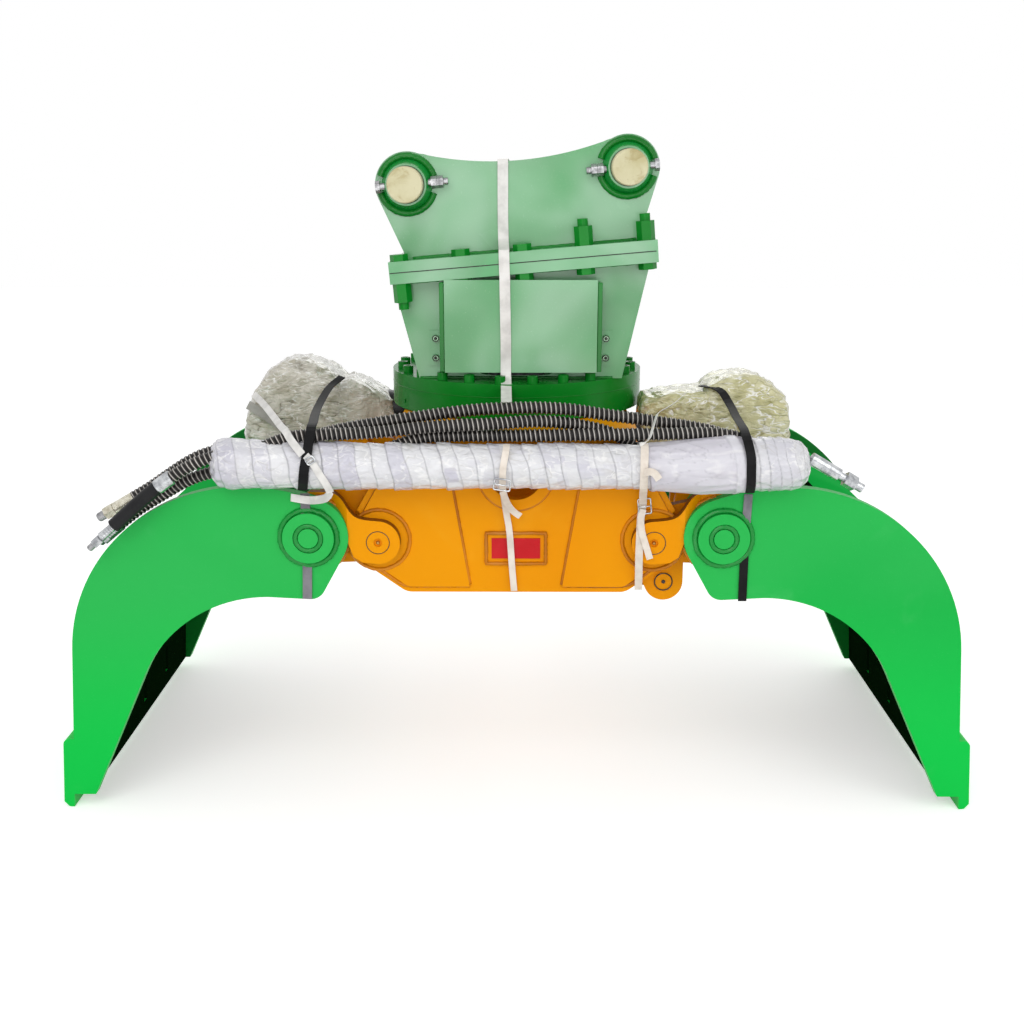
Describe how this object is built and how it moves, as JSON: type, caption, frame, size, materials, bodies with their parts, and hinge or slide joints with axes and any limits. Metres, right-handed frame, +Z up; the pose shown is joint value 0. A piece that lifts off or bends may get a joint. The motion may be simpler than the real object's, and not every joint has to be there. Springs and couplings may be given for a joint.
{
  "type": "log grapple",
  "caption": "Hydraulic log grapple: curved jaws on a plate frame, a slewing head, a bolted hitch bracket with pins, and a wrapped hose bundle across the front.",
  "frame": {"origin": "slewing axis at the floor that the jaw tips stand on", "axes": "+X to the right of the picture along the jaws' opening, +Y away from the viewer, +Z up"},
  "size_m": [2.111, 1.0003, 1.521],
  "materials": {
    "jaw_paint": "satin green paint",
    "head_paint": "gloss green paint",
    "frame_paint": "gloss orange paint",
    "sign_paint": "gloss red paint",
    "pin_steel": "turned, with a cream preservative",
    "bolt_steel": "black bolt with bright nut",
    "machined_steel": "machined",
    "bronze": "machined bush bronze",
    "cylinder_paint": "black paint",
    "rod_chrome": "hard chrome",
    "motor_paint": "dark cast finish",
    "hose_rubber": "matt black with a spiral guard",
    "wrap_film": "white woven film",
    "fitting_steel": "plated"
  },
  "bodies": {
    "frame": {"frame_front_plate": "frame_paint", "frame_rear_plate": "frame_paint", "frame_top_plate": "frame_paint", "frame_ribs": "frame_paint", "cylinder_base": "frame_paint", "pivot_bushes": "bronze", "name_plate": "sign_paint", "slew_inner_ring": "machined_steel", "inner_ring_bolts": "bolt_steel", "swivel_housing": "machined_steel", "hose_roll": "wrap_film", "hose_arc_upper": "hose_rubber", "hose_arc_middle": "hose_rubber", "hose_arc_lower": "hose_rubber", "hose_tail_upper": "hose_rubber", "hose_tail_lower": "hose_rubber", "hose_tail_back": "hose_rubber", "tail_fittings": "fitting_steel", "roll_fitting": "fitting_steel"},
    "head": {"upper_bracket": "head_paint", "pin_bosses": "head_paint", "stick_pin": "pin_steel", "link_pin": "pin_steel", "pin_retainers": "bolt_steel", "upper_flange": "head_paint", "lower_flange": "head_paint", "flange_bolts": "head_paint", "lower_bracket": "head_paint", "base_plate": "head_paint", "ring_bolts": "head_paint", "slew_outer_ring": "head_paint", "slew_motor": "motor_paint", "swivel_core": "machined_steel", "motor_cover": "head_paint", "cover_screws": "bolt_steel"},
    "pinion": {"slew_pinion": "machined_steel"},
    "left_jaw": {"left_tine_plates": "jaw_paint", "left_root_plates": "frame_paint", "left_cross_tube": "jaw_paint", "left_skin_plate": "jaw_paint", "left_cutting_lip": "jaw_paint", "left_horn_plates": "frame_paint", "left_pivot_pins": "frame_paint", "sync_pin_left": "frame_paint"},
    "left_barrel": {"left_cylinder_barrel": "cylinder_paint", "left_cylinder_gland": "cylinder_paint"},
    "left_rod": {"left_cylinder_rod": "rod_chrome"},
    "right_jaw": {"right_tine_plates": "jaw_paint", "right_root_plates": "frame_paint", "right_cross_tube": "jaw_paint", "right_skin_plate": "jaw_paint", "right_cutting_lip": "jaw_paint", "right_horn_plates": "frame_paint", "right_pivot_pins": "frame_paint", "sync_pin_right": "frame_paint"},
    "right_barrel": {"right_cylinder_barrel": "cylinder_paint", "right_cylinder_gland": "cylinder_paint"},
    "right_rod": {"right_cylinder_rod": "rod_chrome"},
    "sync_link": {"sync_link": "frame_paint"}
  },
  "joints": [
    {"name": "slew", "type": "hinge", "parent": "frame", "child": "head", "pos_m": [0, 0, 0.9], "axis": [0, 0, 1], "continuous": true},
    {"name": "pinion_spin", "type": "hinge", "parent": "head", "child": "pinion", "pos_m": [0, -0.1575, 0.9], "axis": [0, 0, 1], "continuous": true},
    {"name": "left_jaw_pivot", "type": "hinge", "parent": "frame", "child": "left_jaw", "pos_m": [-0.306, 0, 0.642], "axis": [0, -1, 0], "range_deg": [0, 66.5]},
    {"name": "right_jaw_pivot", "type": "hinge", "parent": "frame", "child": "right_jaw", "pos_m": [0.306, 0, 0.642], "axis": [0, -1, 0], "range_deg": [-66.5, 0]},
    {"name": "left_barrel_swing", "type": "hinge", "parent": "frame", "child": "left_barrel", "pos_m": [0, 0.15, 0.794], "axis": [0, -1, 0], "range_deg": [0, 27.43]},
    {"name": "right_barrel_swing", "type": "hinge", "parent": "frame", "child": "right_barrel", "pos_m": [0, -0.15, 0.794], "axis": [0, -1, 0], "range_deg": [-27.43, 0]},
    {"name": "left_rod_stroke", "type": "slide", "parent": "left_barrel", "child": "left_rod", "axis": [-0.992, 0, 0.1264], "range_m": [0, 0.1358]},
    {"name": "right_rod_stroke", "type": "slide", "parent": "right_barrel", "child": "right_rod", "axis": [0.992, 0, 0.1264], "range_m": [0, 0.1358]},
    {"name": "sync_link_pivot", "type": "hinge", "parent": "right_jaw", "child": "sync_link", "pos_m": [0.33593, -0.364, 0.53407], "axis": [0, -1, 0], "range_deg": [0, 66.5]}
  ],
  "couplings": [
    {"joint": "pinion_spin", "follows": "slew", "ratio": -4},
    {"joint": "right_jaw_pivot", "follows": "left_jaw_pivot", "ratio": -1},
    {"joint": "left_barrel_swing", "follows": "left_jaw_pivot", "ratio": 0.41246},
    {"joint": "right_barrel_swing", "follows": "left_jaw_pivot", "ratio": -0.41246},
    {"joint": "left_rod_stroke", "follows": "left_jaw_pivot", "m_per_rad": 0.11696},
    {"joint": "right_rod_stroke", "follows": "left_jaw_pivot", "m_per_rad": 0.11696},
    {"joint": "sync_link_pivot", "follows": "left_jaw_pivot", "ratio": 1}
  ]
}
